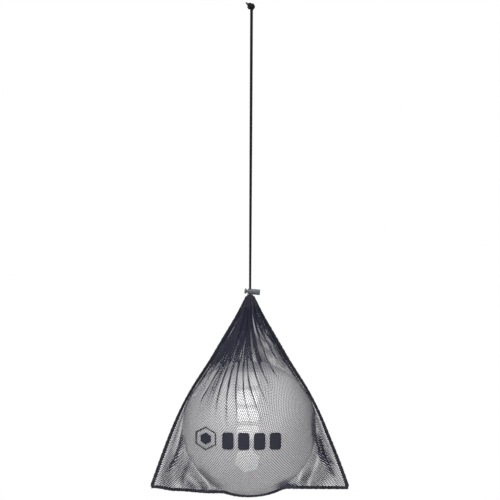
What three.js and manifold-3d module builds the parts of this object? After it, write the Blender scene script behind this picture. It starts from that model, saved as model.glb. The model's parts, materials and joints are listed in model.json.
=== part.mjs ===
// Mesh ball bag that hangs from its own drawcord, closed by a cord lock, with one ball inside.
//
// Frame: millimetres, +Z up, +X to the right, and the front of the bag faces -Y. The origin is
// the top of the knot that joins the two ends of the drawcord, where the bag is hung up.
// Everything else hangs below it on the Z axis.

import * as THREE from 'three';
import { mergeVertices } from 'three/addons/utils/BufferGeometryUtils.js';
import Module from 'manifold-3d';

const wasm = await Module();
wasm.setup();

// ---- driving dimensions ---------------------------------------------------------------------

const GAP = 0.3; // between pieces that touch

// drawcord: two strands side by side, turned about each other by a sixth of a turn
const STRAND_D = 2.4;
const FREE_LENGTH = 465; // from the knot's underside to the mouth of the bag
const KNOT_R = 6.1;
const KNOT_DEPTH_SHARE = 0.85; // the knot is a little flat from front to back
const TAIL_REACH = 8.0; // cut ends, from the knot's centre
// angle of the pair about Z in degrees, at points down the free length, as a share of it
const STRAND_TURN = [
  [0, 0], [2, 0.04], [5, 0.1], [9, 0.18], [14, 0.25], [18, 0.33], [21, 0.4], [25, 0.48],
  [30, 0.55], [34, 0.63], [38, 0.7], [42, 0.78], [47, 0.85], [51, 0.93], [55, 1],
];

// cord lock: a barrel with a sprung plunger, lying across the drawcord
const SLOT_WALL = 0.65; // what the plunger keeps on each side of its slot for the drawcord
const BARREL_WALL = 0.9;
const BARREL_LENGTH = 20.2;
const BARREL_END_WALL = 1.2;
const RIM_TO_BORE = 4.0; // from the barrel's open rim to the drawcord's axis
const PRESS_TRAVEL = 2.0;
const HEAD_LENGTH = 2.9;
const HEAD_R = 4.5;
const NECK_R = 2.8;
const LOCK_TILT = 5; // degrees, the closed end hangs lower
const LOCK_RISE = 6.4; // lock axis above the mouth
const SPRING_WIRE = 0.7;
const SPRING_TURNS = 5;

// bag: two mesh panels sewn into a flat pouch, with a hem round the mouth for the drawcord
const PANEL_T = 0.8;
const MOUTH_R = 6.3; // the mouth, drawn tight
const HEM_H = 19.5;
const HEM_T = 0.9;
const BASE_HALF = 155; // half of the bottom seam's span
const CORNER_DROP = 311; // from the mouth to the bottom corners
const CORNER_SLOPE = 0.36; // how fast the side seams still spread at the corners
const SEAM_BEND = 9; // height over which the bottom seam bends from straight to the ball
const BINDING_W = 4.6;
const BINDING_T = 2.4;
const PANEL_COLUMNS = 22;
const PANEL_ROWS = 20;

// ball: size 5
const BALL_R = 109;
const BALL_DROP = 216; // from the mouth to the ball's centre
const COVER_T = 2.4;
const BLADDER_T = 0.7;
const VALVE_HOLE_R = 4.2;
const VALVE_AXIS = new THREE.Vector3(0.3, 0.72, 0.63);
const BALL_CLEAR = 2.4; // between the ball and the mesh that rests on it

// ---- values that follow ---------------------------------------------------------------------

const KNOT_Z = -KNOT_R;
const STRAND_TOP = KNOT_Z - KNOT_R - GAP;
const PAIR_R = (STRAND_D + GAP) / 2; // from the pair's axis to a strand's centre
const BUNDLE_R = PAIR_R + STRAND_D / 2;
const MOUTH_Z = STRAND_TOP - FREE_LENGTH;
const STRAND_END = MOUTH_Z - 0.5;
const LOCK_Z = MOUTH_Z + LOCK_RISE;
const BORE_R = BUNDLE_R + GAP;
const SLOT_HALF = BORE_R - 0.1;
const BARREL_R = SLOT_HALF + SLOT_WALL + GAP + BARREL_WALL;
const BALL_Z = MOUTH_Z - BALL_DROP;
const SHEET_R = BALL_R + BALL_CLEAR;

// The hanging mesh leaves the mouth as a cone that touches the ball: its slope, and how far
// below the mouth it touches.
const reachToBall = Math.hypot(MOUTH_R, BALL_DROP);
const coneAngle = Math.asin(SHEET_R / reachToBall) - Math.atan2(MOUTH_R, BALL_DROP);
const CONE_SLOPE = Math.tan(coneAngle);
const TOUCH_DROP = Math.sqrt(reachToBall ** 2 - SHEET_R ** 2) * Math.cos(coneAngle);

// ---- shapes ---------------------------------------------------------------------------------

// One closed geometry from corner points and triangles, turned so that its faces point out.
function solid(points, triangles) {
  let volume = 0;
  for (const [a, b, c] of triangles) {
    volume += points[a].dot(points[b].clone().cross(points[c]));
  }
  const ordered = volume < 0 ? triangles.map(([a, b, c]) => [a, c, b]) : triangles;
  const geometry = new THREE.BufferGeometry().setFromPoints(points);
  geometry.setIndex(ordered.flat());
  geometry.computeVertexNormals();
  return geometry;
}

// Joins closed rings of points, one after another, and caps both ends.
function loft(rings, outline) {
  const n = outline.length;
  const points = rings.flat();
  const triangles = [];
  for (let i = 0; i + 1 < rings.length; i++) {
    for (let j = 0; j < n; j++) {
      const a = i * n + j;
      const b = i * n + ((j + 1) % n);
      triangles.push([a, b, a + n], [b, b + n, a + n]);
    }
  }
  const last = (rings.length - 1) * n;
  for (const [a, b, c] of THREE.ShapeUtils.triangulateShape(outline, [])) {
    triangles.push(clockwise(outline) ? [a, b, c] : [a, c, b]);
    triangles.push(clockwise(outline) ? [last + a, last + c, last + b] : [last + a, last + b, last + c]);
  }
  return solid(points, triangles);
}

function clockwise(outline) {
  return THREE.ShapeUtils.isClockWise(outline);
}

// A sheet of even thickness over a grid of points; its normals come from the grid.
function thickSheet(grid, thickness, outward) {
  const rows = grid.length;
  const columns = grid[0].length;
  const at = (i, j) => grid[THREE.MathUtils.clamp(i, 0, rows - 1)][THREE.MathUtils.clamp(j, 0, columns - 1)];
  const outer = grid.map((row, i) => row.map((point, j) => {
    const across = at(i, j + 1).clone().sub(at(i, j - 1));
    const down = at(i + 1, j).clone().sub(at(i - 1, j));
    const normal = across.cross(down).normalize();
    if (normal.dot(outward) < 0) normal.negate();
    return point.clone().addScaledVector(normal, thickness);
  }));
  const points = [...grid.flat(), ...outer.flat()];
  const count = rows * columns;
  const triangles = [];
  for (let i = 0; i + 1 < rows; i++) {
    for (let j = 0; j + 1 < columns; j++) {
      const a = i * columns + j;
      const b = a + 1;
      const c = a + columns;
      const d = c + 1;
      triangles.push([a, b, c], [b, d, c]);
      triangles.push([a + count, c + count, b + count], [b + count, c + count, d + count]);
    }
  }
  const rim = [];
  for (let j = 0; j < columns - 1; j++) rim.push(j);
  for (let i = 0; i < rows - 1; i++) rim.push(i * columns + columns - 1);
  for (let j = columns - 1; j > 0; j--) rim.push((rows - 1) * columns + j);
  for (let i = rows - 1; i > 0; i--) rim.push(i * columns);
  rim.forEach((a, k) => {
    const b = rim[(k + 1) % rim.length];
    triangles.push([a, a + count, b], [b, a + count, b + count]);
  });
  return solid(points, triangles);
}

function tube(curve, diameter, steps, sides) {
  const section = new THREE.Shape(new THREE.EllipseCurve(0, 0, diameter / 2, diameter / 2).getPoints(sides));
  return new THREE.ExtrudeGeometry(section, { steps, extrudePath: curve, bevelEnabled: false });
}

// A turned shape about the X axis. The profile is a list of [radius, x] from its +X end.
function turnedOnX(profile, segments) {
  const points = profile.map(([r, x]) => new THREE.Vector2(r, x)).reverse();
  return new THREE.LatheGeometry(points, segments).rotateZ(-Math.PI / 2);
}

function toManifold(geometry) {
  const bare = geometry.clone();
  bare.deleteAttribute('normal');
  bare.deleteAttribute('uv');
  const merged = mergeVertices(bare, 1e-3);
  const triVerts = new Uint32Array(merged.index.array);
  const vertProperties = new Float32Array(merged.attributes.position.array);
  return new wasm.Manifold(new wasm.Mesh({ numProp: 3, vertProperties, triVerts }));
}

function toGeometry(manifold) {
  const { vertProperties, triVerts } = manifold.getMesh();
  const geometry = new THREE.BufferGeometry();
  geometry.setAttribute('position', new THREE.BufferAttribute(vertProperties, 3));
  geometry.setIndex(new THREE.BufferAttribute(triVerts, 1));
  geometry.computeVertexNormals();
  return geometry;
}

// ---- materials ------------------------------------------------------------------------------

const cordBlack = { color: 0x262628, roughness: 0.9, metalness: 0 };
const meshNavy = { color: 0x2d2b36, roughness: 0.85, metalness: 0 };
const bindingBlack = { color: 0x222226, roughness: 0.9, metalness: 0 };
const lockGrey = { color: 0x4a4c54, roughness: 0.45, metalness: 0 };
const springSteel = { color: 0xb8babd, roughness: 0.3, metalness: 1 };
const ballGrey = { color: 0xb4b6b8, roughness: 0.5, metalness: 0 };
const bladderBlack = { color: 0x1c1c1c, roughness: 0.7, metalness: 0 };

const bag = new THREE.Group();

function add(parent, name, geometry, look) {
  const mesh = new THREE.Mesh(geometry, new THREE.MeshStandardMaterial(look));
  mesh.name = name;
  parent.add(mesh);
  return mesh;
}

// ---- knot and drawcord ----------------------------------------------------------------------

// The knot is a round lump, with the two cut ends of the drawcord standing out to the upper left.
function knot() {
  const lump = new THREE.SphereGeometry(KNOT_R, 18, 12).scale(1, KNOT_DEPTH_SHARE, 1).translate(0, 0, KNOT_Z);
  const tailWay = new THREE.Vector3(-0.78, 0, 0.62).normalize();
  let shape = toManifold(lump);
  for (const side of [-1, 1]) {
    const start = new THREE.Vector3(0, side * PAIR_R, KNOT_Z);
    const end = start.clone().addScaledVector(tailWay, TAIL_REACH);
    shape = shape.add(toManifold(tube(new THREE.LineCurve3(start, end), STRAND_D, 1, 10)));
  }
  return toGeometry(shape);
}

function strand(side) {
  const points = STRAND_TURN.map(([degrees, share]) => {
    const angle = THREE.MathUtils.degToRad(degrees);
    const z = THREE.MathUtils.lerp(STRAND_TOP, STRAND_END, share);
    return new THREE.Vector3(side * PAIR_R * Math.cos(angle), side * PAIR_R * Math.sin(angle), z);
  });
  return tube(new THREE.CatmullRomCurve3(points), STRAND_D, 64, 8);
}

// Inside the hem the drawcord goes down, once round the gathered mouth, and up to the other strand.
function hemLoop() {
  const start = THREE.MathUtils.degToRad(STRAND_TURN.at(-1)[0]);
  const ringR = PAIR_R + STRAND_D + GAP;
  const top = STRAND_END - GAP;
  const low = top - 9.5;
  const ringTop = low + STRAND_D + 4 * GAP;
  const route = [[PAIR_R, 0, top], [PAIR_R, 0, top - 3], [PAIR_R, 0, top - 6.5]];
  route.push([PAIR_R * 1.6, 0.12, low + 0.6]);
  const ringSteps = 10;
  for (let k = 0; k <= ringSteps; k++) {
    route.push([ringR, 0.25 + k / ringSteps, THREE.MathUtils.lerp(low, ringTop, k / ringSteps)]);
  }
  route.push([PAIR_R * 1.6, 1.42, ringTop + 2.2]);
  route.push([PAIR_R, 1.5, top - 2.2], [PAIR_R, 1.5, top]);
  const points = route.map(([r, turn, z]) => {
    const angle = start + turn * 2 * Math.PI;
    return new THREE.Vector3(r * Math.cos(angle), r * Math.sin(angle), z);
  });
  return tube(new THREE.CatmullRomCurve3(points), STRAND_D, 44, 8);
}

add(bag, 'end_knot', knot(), cordBlack);
add(bag, 'cord_strand_a', strand(1), cordBlack);
add(bag, 'cord_strand_b', strand(-1), cordBlack);
add(bag, 'drawcord_loop', hemLoop(), cordBlack);

// ---- cord lock ------------------------------------------------------------------------------

const lock = new THREE.Group();
lock.position.z = LOCK_Z;
lock.rotation.y = THREE.MathUtils.degToRad(LOCK_TILT);
bag.add(lock);

const LOCK_SEGMENTS = 22;
const RIM_X = -RIM_TO_BORE;
const BARREL_END = RIM_X + BARREL_LENGTH;
const CAVITY_R = BARREL_R - BARREL_WALL;
const CAVITY_END = BARREL_END - BARREL_END_WALL;
const PLUNGER_R = CAVITY_R - GAP;
const HEAD_INNER = RIM_X - PRESS_TRAVEL - GAP;
const SLOT_END = BORE_R;
const SLOT_START = -BORE_R - PRESS_TRAVEL;
const PLUNGER_END = SLOT_END + 2.6;

// The cuts for the drawcord stay upright in the tilted lock.
function upright(geometry) {
  return toManifold(geometry.rotateY(-THREE.MathUtils.degToRad(LOCK_TILT)));
}

function barrel() {
  const waist = BARREL_R - 0.25;
  const dip = SLOT_END + 0.8;
  const cup = turnedOnX([
    [0, BARREL_END], [BARREL_R - 0.6, BARREL_END], [BARREL_R, BARREL_END - 0.6],
    [BARREL_R, dip + 1.8], [waist, dip + 1.3], [waist, dip + 0.5], [BARREL_R, dip],
    [BARREL_R, RIM_X + 0.35], [BARREL_R - 0.35, RIM_X], [CAVITY_R, RIM_X],
    [CAVITY_R, CAVITY_END], [0, CAVITY_END],
  ], LOCK_SEGMENTS);
  const bore = new THREE.CylinderGeometry(BORE_R, BORE_R, 4 * BARREL_R, 24).rotateX(Math.PI / 2);
  return toGeometry(toManifold(cup).subtract(upright(bore)));
}

function plunger() {
  const stem = turnedOnX([
    [0, PLUNGER_END], [PLUNGER_R - 0.3, PLUNGER_END], [PLUNGER_R, PLUNGER_END - 0.3],
    [PLUNGER_R, SLOT_START - GAP], [NECK_R, SLOT_START - GAP], [NECK_R, HEAD_INNER],
    [HEAD_R - 0.3, HEAD_INNER], [HEAD_R, HEAD_INNER - 0.6], [HEAD_R - 0.1, HEAD_INNER - 2.0],
    [HEAD_R - 1.3, HEAD_INNER - HEAD_LENGTH], [0, HEAD_INNER - HEAD_LENGTH],
  ], LOCK_SEGMENTS);
  const slot = new THREE.BoxGeometry(SLOT_END - SLOT_START, 2 * SLOT_HALF, 4 * BARREL_R);
  slot.translate((SLOT_START + SLOT_END) / 2, 0, 0);
  return toGeometry(toManifold(stem).subtract(upright(slot)));
}

function spring() {
  const from = PLUNGER_END + GAP + SPRING_WIRE / 2;
  const to = CAVITY_END - GAP - SPRING_WIRE / 2;
  const radius = CAVITY_R - GAP - SPRING_WIRE;
  const stations = SPRING_TURNS * 10;
  const points = Array.from({ length: stations + 1 }, (_, k) => {
    const share = k / stations;
    const angle = share * SPRING_TURNS * 2 * Math.PI;
    const x = THREE.MathUtils.lerp(from, to, share);
    return new THREE.Vector3(x, radius * Math.cos(angle), radius * Math.sin(angle));
  });
  return tube(new THREE.CatmullRomCurve3(points), SPRING_WIRE, stations, 6);
}

add(lock, 'lock_barrel', barrel(), lockGrey);
add(lock, 'lock_plunger', plunger(), lockGrey);
add(lock, 'lock_spring', spring(), springSteel);

// ---- mesh panels, hem and bindings ----------------------------------------------------------

function coneRadius(drop) {
  return MOUTH_R + drop * CONE_SLOPE;
}

// Half of the bag's width at a height: the cone down to where it touches the ball, then a smooth
// curve out to the bottom corner.
function seamHalf(drop) {
  if (drop <= TOUCH_DROP) return coneRadius(drop);
  const span = CORNER_DROP - TOUCH_DROP;
  const t = Math.min((drop - TOUCH_DROP) / span, 1);
  const start = coneRadius(TOUCH_DROP);
  return start * (1 + 2 * t) * (1 - t) ** 2 + BASE_HALF * t * t * (3 - 2 * t)
    + CONE_SLOPE * span * t * (1 - t) ** 2 - CORNER_SLOPE * span * t * t * (1 - t);
}

// The bottom seam runs straight from corner to corner, except where the ball bears down on it.
// The two meet in a soft bend.
function bottomZ(x) {
  const straight = MOUTH_Z - CORNER_DROP;
  if (Math.abs(x) >= SHEET_R) return straight;
  const underBall = BALL_Z - Math.sqrt(SHEET_R ** 2 - x ** 2);
  const share = THREE.MathUtils.clamp(0.5 + (underBall - straight) / (2 * SEAM_BEND), 0, 1);
  return THREE.MathUtils.lerp(underBall, straight, share) - SEAM_BEND * share * (1 - share);
}

// The least that a panel stands out of the bag's middle plane: the cone above the ball, then the
// ball itself, and 0 beside it.
function leastDepth(x, z) {
  const drop = MOUTH_Z - z;
  const radiusSquared = drop < TOUCH_DROP ? coneRadius(drop) ** 2 : SHEET_R ** 2 - (z - BALL_Z) ** 2;
  return Math.sqrt(Math.max(radiusSquared - x ** 2, 0));
}

// Where a column of the panel lies, from -1 at the left seam to 1 at the right one.
function columnShare(j) {
  return Math.sin((j / PANEL_COLUMNS - 0.5) * Math.PI);
}

// One panel is a taut sheet: sewn along its edges, resting on the ball, and stretched smooth
// between, more tightly down the bag than across it. Each point settles between its neighbours.
const SETTLE_ROUNDS = 900;
const ACROSS_PULL = 0.25; // against 1 down the bag

function panelGrid(side) {
  const top = HEM_H + GAP;
  const grid = [];
  for (let i = 0; i <= PANEL_ROWS; i++) {
    const share = Math.sin((i / PANEL_ROWS) * Math.PI / 2);
    const half = seamHalf(THREE.MathUtils.lerp(top, CORNER_DROP, share));
    grid.push([]);
    for (let j = 0; j <= PANEL_COLUMNS; j++) {
      const x = half * columnShare(j);
      const z = THREE.MathUtils.lerp(MOUTH_Z - top, bottomZ(x), share);
      const sewn = j === 0 || j === PANEL_COLUMNS || i === PANEL_ROWS;
      grid[i].push(new THREE.Vector3(x, sewn ? 0 : leastDepth(x, z), z));
    }
  }
  for (let k = 0; k < SETTLE_ROUNDS; k++) settle(grid);
  return grid.map((row) => row.map((p) => new THREE.Vector3(p.x, side * (p.y + GAP / 2), p.z)));
}

function settle(grid) {
  for (let i = 1; i < PANEL_ROWS; i++) {
    for (let j = 1; j < PANEL_COLUMNS; j++) {
      const here = grid[i][j];
      let pull = 0;
      let sum = 0;
      for (const [next, strength] of [[grid[i - 1][j], 1], [grid[i + 1][j], 1],
        [grid[i][j - 1], ACROSS_PULL], [grid[i][j + 1], ACROSS_PULL]]) {
        const weight = strength / ((next.x - here.x) ** 2 + (next.z - here.z) ** 2);
        pull += weight * next.y;
        sum += weight;
      }
      here.y = Math.max(pull / sum, leastDepth(here.x, here.z));
    }
  }
}

function hem(side) {
  const low = coneRadius(HEM_H);
  const hole = BUNDLE_R + GAP;
  const outline = [
    [hole, 0], [MOUTH_R, 0], [low, -HEM_H], [low - HEM_T, -HEM_H], [MOUTH_R - HEM_T, -HEM_T], [hole, -HEM_T],
  ].map(([r, z]) => new THREE.Vector2(r, z));
  const steps = 18;
  const rings = [];
  for (let k = 0; k <= steps; k++) {
    const angle = (k / steps) * Math.PI;
    rings.push(outline.map((p) => new THREE.Vector3(
      -p.x * Math.cos(angle),
      side * (p.x * Math.sin(angle) + GAP / 2),
      MOUTH_Z + p.y,
    )));
  }
  return loft(rings, outline);
}

// A binding is a flat tape that lies in the bag's middle plane along the edge of the panels.
function binding(edge) {
  const w = BINDING_W / 2;
  const t = BINDING_T / 2;
  const round = 0.7;
  const outline = [
    [-w, -t + round], [-w + round, -t], [w - round, -t], [w, -t + round],
    [w, t - round], [w - round, t], [-w + round, t], [-w, t - round],
  ].map(([a, b]) => new THREE.Vector2(a, b));
  const rings = edge.map((point, k) => {
    const before = edge[Math.max(k - 1, 0)];
    const after = edge[Math.min(k + 1, edge.length - 1)];
    const along = after.clone().sub(before).normalize();
    const out = new THREE.Vector3(-along.z, 0, along.x);
    const centre = point.clone().addScaledVector(out, PANEL_T + GAP + w);
    return outline.map((p) => centre.clone().addScaledVector(out, p.x).add(new THREE.Vector3(0, p.y, 0)));
  });
  return loft(rings, outline);
}

// The edge runs upwards on the right and downwards on the left, so that out is away from the bag.
function sideEdge(side) {
  const steps = 20;
  const top = HEM_H + GAP;
  const points = [];
  for (let k = 0; k <= steps; k++) {
    const drop = THREE.MathUtils.lerp(top, CORNER_DROP, k / steps);
    points.push(new THREE.Vector3(side * seamHalf(drop), 0, MOUTH_Z - drop));
  }
  return side < 0 ? points.reverse() : points;
}

// It has the panels' own points, from right to left.
function bottomEdge() {
  return Array.from({ length: PANEL_COLUMNS + 1 }, (_, k) => {
    const x = BASE_HALF * columnShare(PANEL_COLUMNS - k);
    return new THREE.Vector3(x, 0, bottomZ(x));
  });
}

const FRONT = -1;
const BACK = 1;

add(bag, 'front_hem', hem(FRONT), meshNavy);
add(bag, 'back_hem', hem(BACK), meshNavy);
add(bag, 'front_panel', thickSheet(panelGrid(FRONT), PANEL_T, new THREE.Vector3(0, FRONT, 0)), meshNavy);
add(bag, 'back_panel', thickSheet(panelGrid(BACK), PANEL_T, new THREE.Vector3(0, BACK, 0)), meshNavy);
add(bag, 'left_binding', binding(sideEdge(-1)), bindingBlack);
add(bag, 'right_binding', binding(sideEdge(1)), bindingBlack);
add(bag, 'bottom_binding', binding(bottomEdge()), bindingBlack);

// ---- ball -----------------------------------------------------------------------------------

const ball = new THREE.Group();
ball.position.z = BALL_Z;
ball.quaternion.setFromUnitVectors(new THREE.Vector3(0, 1, 0), VALVE_AXIS.clone().normalize());
bag.add(ball);

const BLADDER_R = BALL_R - COVER_T - GAP;
const SHANK_HOLE_R = VALVE_HOLE_R - 1.2;
const BALL_SEGMENTS = 28;
const BALL_ROWS = 14;

// A hollow sphere about Y with a round hole at its top. The cover and the bladder have the same
// number of facets, so that one stays inside the other.
function hollowBall(radius, wall, holeR) {
  const arc = (r) => Array.from({ length: BALL_ROWS + 1 }, (_, k) => {
    const angle = THREE.MathUtils.lerp(-Math.PI / 2, Math.acos(holeR / r), k / BALL_ROWS);
    return new THREE.Vector2(k === 0 ? 0 : r * Math.cos(angle), r * Math.sin(angle));
  });
  return new THREE.LatheGeometry([...arc(radius), ...arc(radius - wall).reverse()], BALL_SEGMENTS);
}

// A soft rubber plug: a head in the cover, a shank through the bladder, and a flange inside it.
function valve() {
  const face = BALL_R - 0.4;
  const headLow = BALL_R - COVER_T;
  const under = BLADDER_R - BLADDER_T - GAP;
  const headR = VALVE_HOLE_R - GAP;
  const shankR = SHANK_HOLE_R - GAP;
  const needleR = 0.8;
  const profile = [
    [0, face - 9], [needleR, face - 9], [needleR, face], [headR - 0.4, face], [headR, face - 0.4],
    [headR, headLow], [shankR, headLow], [shankR, under], [2 * shankR, under - 0.4],
    [2 * shankR, under - 1.6], [shankR, under - 3], [shankR, under - 9], [0, under - 9],
  ];
  return new THREE.LatheGeometry(profile.map(([r, y]) => new THREE.Vector2(r, y)).reverse(), 20);
}

add(ball, 'ball_cover', hollowBall(BALL_R, COVER_T, VALVE_HOLE_R), ballGrey);
add(ball, 'ball_bladder', hollowBall(BLADDER_R, BLADDER_T, SHANK_HOLE_R), bladderBlack);
add(ball, 'ball_valve', valve(), bladderBlack);

export default bag;
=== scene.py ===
"""Looks of a mesh ball bag that hangs from its knotted drawcord, with one ball inside.

Metres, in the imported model's frame: +Z up, the front of the bag faces -Y, and the origin is the
top of the end knot. The mesh fabric is simulated as cloth over the ball, then knitted as a real net.
"""
import itertools
import json
import math

import bpy
import numpy as np
from mathutils import Euler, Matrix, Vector
from mathutils.bvhtree import BVHTree


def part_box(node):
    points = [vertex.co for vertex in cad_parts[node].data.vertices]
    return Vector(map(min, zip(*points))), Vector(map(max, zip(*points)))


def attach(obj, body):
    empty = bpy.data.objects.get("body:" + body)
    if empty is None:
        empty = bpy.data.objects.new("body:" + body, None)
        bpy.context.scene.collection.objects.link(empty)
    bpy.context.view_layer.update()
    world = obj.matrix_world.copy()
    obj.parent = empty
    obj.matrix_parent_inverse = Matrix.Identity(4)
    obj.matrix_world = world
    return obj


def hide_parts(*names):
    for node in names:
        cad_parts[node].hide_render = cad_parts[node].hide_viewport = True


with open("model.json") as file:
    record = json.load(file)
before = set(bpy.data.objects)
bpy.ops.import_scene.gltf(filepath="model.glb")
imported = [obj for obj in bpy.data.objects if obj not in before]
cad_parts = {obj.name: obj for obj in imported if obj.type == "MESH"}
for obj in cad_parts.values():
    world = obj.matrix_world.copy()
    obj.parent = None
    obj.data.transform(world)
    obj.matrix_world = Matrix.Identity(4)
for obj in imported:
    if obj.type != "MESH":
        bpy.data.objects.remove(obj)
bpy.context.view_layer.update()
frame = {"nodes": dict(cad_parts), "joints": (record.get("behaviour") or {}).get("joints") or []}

MM = 0.001
TURN = 2 * math.pi
JOINTS = {joint["name"]: joint for joint in frame["joints"]}

# ---- places that come from the frame ---------------------

HEM_LOW, HEM_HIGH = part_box("front_hem")
LOCK_LOW, LOCK_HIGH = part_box("lock_barrel")
STRAND_LOW, STRAND_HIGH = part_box("cord_strand_a")
BALL_CENTRE = np.array(JOINTS["ball_spin"]["pos_m"])
PRESS_WAY = Vector(JOINTS["plunger_press"]["axis"]).normalized()
MOUTH_Z = HEM_HIGH.z
HEM_DROP = MOUTH_Z - HEM_LOW.z
BASE_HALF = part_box("front_panel")[1].x

# ---- sizes shared with the CAD model ---------------------

STRAND_D = 2.4 * MM
PAIR_SEEN = 1.13 * MM       # each strand's middle from the drawcord's axis
STRAND_TURN = [             # degrees, and the share of the way down
    (0, 0), (2, 0.04), (5, 0.1), (9, 0.18), (14, 0.25), (18, 0.33), (21, 0.4), (25, 0.48),
    (30, 0.55), (34, 0.63), (38, 0.7), (42, 0.78), (47, 0.85), (51, 0.93), (55, 1),
]
BALL_R = 109 * MM
MOUTH_R = 6.3 * MM
CORNER_DROP = 311 * MM
CORNER_SLOPE = 0.36

# ---- camera ----------------------------------------------

VIEW_WIDTH = 0.815      # at the bag's middle plane
CAMERA_AWAY = 4.0
VIEW_CENTRE = Vector((-0.0005, 0, -0.4035))
VIEW_ROLL = math.radians(-0.3)      # the drawcord is seen this far off the vertical
SENSOR_WIDTH = 36


def make_camera():
    data = bpy.data.cameras.new("camera")
    data.sensor_width = SENSOR_WIDTH
    data.lens = data.sensor_width * CAMERA_AWAY / VIEW_WIDTH
    camera = bpy.data.objects.new("camera", data)
    camera.location = VIEW_CENTRE - Vector((0, CAMERA_AWAY, 0))
    camera.rotation_euler = (math.pi / 2, VIEW_ROLL, 0)
    bpy.context.scene.collection.objects.link(camera)
    bpy.context.scene.camera = camera


make_camera()

# ---- mesh and material helpers ---------------------------


def smoothstep(x, low, high):
    t = np.clip((x - low) / (high - low), 0, 1)
    return t * t * (3 - 2 * t)


def bump(x, middle, width):
    return np.exp(-((x - middle) / width) ** 2)


def unit(vectors):
    """The same directions with a length of 1."""
    return vectors / np.linalg.norm(vectors, axis=-1, keepdims=True)


def run_along(points):
    """How far along a line of points each of them lies."""
    return np.concatenate([[0], np.cumsum(np.linalg.norm(np.diff(points, axis=0), axis=1))])


def points_at(wanted, along, points):
    """Points between those of a line, at given places along it."""
    return np.stack([np.interp(wanted, along, points[:, c]) for c in range(3)], -1)


def grid_quads(rows, columns):
    """Quads over a grid of points that is stored row by row."""
    i = np.arange(rows - 1)[:, None] * columns
    j = np.arange(columns - 1)[None]
    return np.stack([i + j, i + j + 1, i + columns + j + 1, i + columns + j], -1).reshape(-1, 4)


def mesh_object(name, points, faces, smooth=True):
    """A mesh object from an array of points and one or more arrays of faces."""
    mesh = bpy.data.meshes.new(name)
    if isinstance(faces, np.ndarray):
        faces = [faces]
    corners = np.concatenate([f.ravel() for f in faces])
    sizes = np.concatenate([np.full(len(f), f.shape[1]) for f in faces])
    starts = np.concatenate([[0], np.cumsum(sizes)[:-1]])
    mesh.vertices.add(len(points))
    mesh.vertices.foreach_set("co", np.asarray(points, np.float32).ravel())
    mesh.loops.add(len(corners))
    mesh.loops.foreach_set("vertex_index", corners.astype(np.int32))
    mesh.polygons.add(len(sizes))
    mesh.polygons.foreach_set("loop_start", starts.astype(np.int32))
    mesh.polygons.foreach_set("loop_total", sizes.astype(np.int32))
    mesh.update(calc_edges=True)
    mesh.validate()
    mesh.polygons.foreach_set("use_smooth", np.full(len(mesh.polygons), smooth))
    obj = bpy.data.objects.new(name, mesh)
    bpy.context.scene.collection.objects.link(obj)
    return obj


def ring_faces(rings, sides):
    """Quads that join rings of points into a tube, with an end cap at each end."""
    i = np.arange(rings - 1)[:, None] * sides
    j = np.arange(sides)[None, :]
    k = (j + 1) % sides
    quads = np.stack([i + j, i + k, i + sides + k, i + sides + j], -1).reshape(-1, 4)
    caps = np.array([np.arange(sides)[::-1], (rings - 1) * sides + np.arange(sides)])
    return [quads, caps]


def normals_along(path):
    """Two unit normals that turn as little as they can, along an array of points."""
    tangent = unit(np.gradient(path, axis=0))
    normal = np.zeros_like(path)
    start = np.cross(tangent[0], (0.0, 1.0, 0.0))
    if np.linalg.norm(start) < 0.1:
        start = np.cross(tangent[0], (1.0, 0.0, 0.0))
    normal[0] = unit(start)
    for n in range(1, len(path)):
        normal[n] = unit(normal[n - 1] - tangent[n] * (normal[n - 1] @ tangent[n]))
    return normal, np.cross(tangent, normal)


def resample(points, step):
    """A smooth line through points, with a point about every step, and how far along each lies."""
    points = np.asarray(points, float)
    ends = np.vstack([2 * points[0] - points[1], points, 2 * points[-1] - points[-2]])
    dense = []
    for p0, p1, p2, p3 in zip(ends, ends[1:], ends[2:], ends[3:]):
        t = np.linspace(0, 1, 24, endpoint=False)[:, None]
        dense.append(0.5 * (2 * p1 + (p2 - p0) * t + (2 * p0 - 5 * p1 + 4 * p2 - p3) * t ** 2
                            + (3 * p1 - p0 - 3 * p2 + p3) * t ** 3))
    dense = np.vstack(dense + [points[-1:]])
    along = run_along(dense)
    wanted = np.linspace(0, along[-1], max(int(along[-1] / step), 2) + 1)
    return points_at(wanted, along, dense), wanted


def node_material(name, color, roughness, bumps, bump_scale, distance, tint, coat=0.0, metallic=0.0,
                  specular=0.5):
    """A surface with fine noise in its height, and in its colour from color to tint."""
    material = bpy.data.materials.new(name)
    material.use_nodes = True
    nodes = material.node_tree.nodes
    links = material.node_tree.links
    shader = nodes["Principled BSDF"]
    shader.inputs["Roughness"].default_value = roughness
    shader.inputs["Metallic"].default_value = metallic
    shader.inputs["Specular IOR Level"].default_value = specular
    shader.inputs["Coat Weight"].default_value = coat
    where = nodes.new("ShaderNodeTexCoord")
    noise = nodes.new("ShaderNodeTexNoise")
    noise.inputs["Scale"].default_value = bump_scale
    noise.inputs["Detail"].default_value = 4
    links.new(where.outputs["Object"], noise.inputs["Vector"])
    height = nodes.new("ShaderNodeBump")
    height.inputs["Strength"].default_value = bumps
    height.inputs["Distance"].default_value = distance
    links.new(noise.outputs["Fac"], height.inputs["Height"])
    links.new(height.outputs["Normal"], shader.inputs["Normal"])
    ramp = nodes.new("ShaderNodeValToRGB")
    low, high = ramp.color_ramp.elements
    low.position, high.position = 0.35, 0.7
    low.color, high.color = (*color, 1), (*tint, 1)
    links.new(noise.outputs["Fac"], ramp.inputs["Fac"])
    links.new(ramp.outputs["Color"], shader.inputs["Base Color"])
    return material


def finish_piece(obj, body, material, replaced=()):
    """Gives a piece its material, says what it rides on, and hides the nodes it stands for."""
    obj.data.materials.clear()
    obj.data.materials.append(material)
    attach(obj, body)
    if replaced:
        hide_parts(*replaced)
    return obj


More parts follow.
